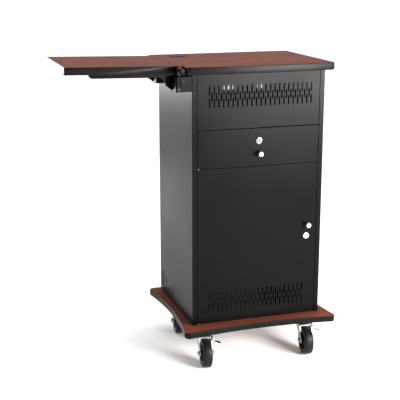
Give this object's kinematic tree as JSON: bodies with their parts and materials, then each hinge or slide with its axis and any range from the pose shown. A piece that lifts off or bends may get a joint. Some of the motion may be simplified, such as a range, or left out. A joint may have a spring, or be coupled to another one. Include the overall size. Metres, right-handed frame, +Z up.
{
  "type": "lectern podium",
  "caption": "Wheeled lectern cabinet with a laminate worktop, a drop-down side shelf, a locking drawer and a locking door.",
  "frame": {"origin": "on the floor under the middle of the whole part's box, with the side shelf raised", "axes": "+X to the user's right, away from the side shelf; +Y towards the back; +Z up"},
  "size_m": [0.9143, 0.4846, 1.04],
  "materials": {
    "laminate": "satin cherry laminate",
    "edge_band": "smooth black moulding",
    "black_steel": "fine-textured black powder coat",
    "black_enamel": "smooth semi-gloss black enamel",
    "black_screw": "black oxide",
    "zinc_steel": "zinc plated",
    "chrome": "bright chrome",
    "satin_chrome": "satin chrome",
    "caster_chrome": "bright plated pressing",
    "black_plastic": "satin black moulding",
    "hub_plastic": "satin black moulding",
    "tyre_rubber": "matt black rubber"
  },
  "bodies": {
    "cabinet": {"worktop_board": "laminate", "worktop_edge_band": "edge_band", "grommet_sleeve": "black_plastic", "base_board": "laminate", "base_edge_band": "edge_band", "side_panel_left": "black_steel", "side_panel_right": "black_steel", "rear_panel": "black_steel", "upper_vent_panel": "black_steel", "floor_pan": "black_steel", "top_frame": "black_steel", "drawer_deck": "black_steel", "inner_shelf": "black_steel", "shelf_clips": "zinc_steel", "inlet_plate": "black_steel", "cabinet_screws": "black_screw", "board_fasteners": "zinc_steel", "slide_outer_rails": "zinc_steel", "caster_plates": "caster_chrome", "bracket_blocks": "black_enamel", "bracket_pivot_pins": "black_screw"},
    "cable_cap": {"grommet_cap": "black_plastic"},
    "side_shelf": {"shelf_board": "laminate", "shelf_edge_band": "edge_band", "shelf_arms": "black_enamel"},
    "shelf_lock": {"lock_rod": "black_screw", "lock_grip": "black_plastic"},
    "drawer": {"drawer_front": "black_steel", "drawer_tray": "black_steel", "drawer_knob": "satin_chrome", "drawer_lock_body": "chrome", "slide_inner_rails": "zinc_steel"},
    "drawer_key": {"drawer_lock_plug": "chrome", "drawer_lock_cam": "zinc_steel"},
    "slide_middle": {"slide_middle_rails": "zinc_steel"},
    "door": {"door_panel": "black_steel", "door_pivot_pins": "zinc_steel", "door_knob": "satin_chrome", "door_lock_body": "chrome"},
    "door_key": {"door_lock_plug": "chrome", "door_lock_cam": "zinc_steel"},
    "fork_front_left_body": {"fork_front_left": "caster_chrome", "axle_front_left": "caster_chrome"},
    "wheel_front_left_body": {"wheel_hub_front_left": "hub_plastic", "tyre_front_left": "tyre_rubber"},
    "brake_front_left_body": {"brake_lever_front_left": "caster_chrome"},
    "fork_rear_left_body": {"fork_rear_left": "caster_chrome", "axle_rear_left": "caster_chrome"},
    "wheel_rear_left_body": {"wheel_hub_rear_left": "hub_plastic", "tyre_rear_left": "tyre_rubber"},
    "fork_front_right_body": {"fork_front_right": "caster_chrome", "axle_front_right": "caster_chrome"},
    "wheel_front_right_body": {"wheel_hub_front_right": "hub_plastic", "tyre_front_right": "tyre_rubber"},
    "brake_front_right_body": {"brake_lever_front_right": "caster_chrome"},
    "fork_rear_right_body": {"fork_rear_right": "caster_chrome", "axle_rear_right": "caster_chrome"},
    "wheel_rear_right_body": {"wheel_hub_rear_right": "hub_plastic", "tyre_rear_right": "tyre_rubber"}
  },
  "joints": [
    {"name": "shelf_fold", "type": "hinge", "parent": "cabinet", "child": "side_shelf", "pos_m": [-0.09725, 0.02435, 0.961], "axis": [0, -1, 0], "range_deg": [0, 91]},
    {"name": "shelf_lock_turn", "type": "hinge", "parent": "cabinet", "child": "shelf_lock", "pos_m": [-0.08125, 0.02435, 0.987], "axis": [0, -1, 0], "range_deg": [0, 30]},
    {"name": "drawer_slide", "type": "slide", "parent": "cabinet", "child": "drawer", "axis": [0, -1, 0], "range_m": [0, 0.3]},
    {"name": "slide_middle_travel", "type": "slide", "parent": "cabinet", "child": "slide_middle", "axis": [0, -1, 0], "range_m": [0, 0.15]},
    {"name": "drawer_key_turn", "type": "hinge", "parent": "drawer", "child": "drawer_key", "pos_m": [0.18075, -0.17565, 0.7794], "axis": [0, 1, 0], "range_deg": [0, 90]},
    {"name": "door_swing", "type": "hinge", "parent": "cabinet", "child": "door", "pos_m": [-0.03075, -0.17165, 0.42], "axis": [0, 0, -1], "range_deg": [0, 110]},
    {"name": "door_key_turn", "type": "hinge", "parent": "door", "child": "door_key", "pos_m": [0.36075, -0.17565, 0.4344], "axis": [0, 1, 0], "range_deg": [0, 90]},
    {"name": "cable_cap_turn", "type": "hinge", "parent": "cabinet", "child": "cable_cap", "pos_m": [0.00675, 0.18535, 1.032], "axis": [0, 0, 1], "continuous": true},
    {"name": "caster_swivel_front_left", "type": "hinge", "parent": "cabinet", "child": "fork_front_left_body", "pos_m": [-0.00675, -0.16165, 0.11], "axis": [0, 0, 1], "continuous": true},
    {"name": "wheel_roll_front_left", "type": "hinge", "parent": "fork_front_left_body", "child": "wheel_front_left_body", "pos_m": [-0.01041, -0.19143, 0.05], "axis": [0.9925, -0.1219, 0], "continuous": true},
    {"name": "brake_press_front_left", "type": "hinge", "parent": "fork_front_left_body", "child": "brake_front_left_body", "pos_m": [0.01834, -0.17884, 0.098], "axis": [0.1219, 0.9925, 0], "range_deg": [0, 6]},
    {"name": "caster_swivel_rear_left", "type": "hinge", "parent": "cabinet", "child": "fork_rear_left_body", "pos_m": [-0.00675, 0.16435, 0.11], "axis": [0, 0, 1], "continuous": true},
    {"name": "wheel_roll_rear_left", "type": "hinge", "parent": "fork_rear_left_body", "child": "wheel_rear_left_body", "pos_m": [-0.01041, 0.13457, 0.05], "axis": [0.9925, -0.1219, 0], "continuous": true},
    {"name": "caster_swivel_front_right", "type": "hinge", "parent": "cabinet", "child": "fork_front_right_body", "pos_m": [0.36825, -0.16165, 0.11], "axis": [0, 0, 1], "continuous": true},
    {"name": "wheel_roll_front_right", "type": "hinge", "parent": "fork_front_right_body", "child": "wheel_front_right_body", "pos_m": [0.36459, -0.19143, 0.05], "axis": [0.9925, -0.1219, 0], "continuous": true},
    {"name": "brake_press_front_right", "type": "hinge", "parent": "fork_front_right_body", "child": "brake_front_right_body", "pos_m": [0.39334, -0.17884, 0.098], "axis": [0.1219, 0.9925, 0], "range_deg": [0, 6]},
    {"name": "caster_swivel_rear_right", "type": "hinge", "parent": "cabinet", "child": "fork_rear_right_body", "pos_m": [0.36825, 0.16435, 0.11], "axis": [0, 0, 1], "continuous": true},
    {"name": "wheel_roll_rear_right", "type": "hinge", "parent": "fork_rear_right_body", "child": "wheel_rear_right_body", "pos_m": [0.36459, 0.13457, 0.05], "axis": [0.9925, -0.1219, 0], "continuous": true}
  ],
  "couplings": [
    {"joint": "slide_middle_travel", "follows": "drawer_slide", "ratio": 0.5}
  ]
}
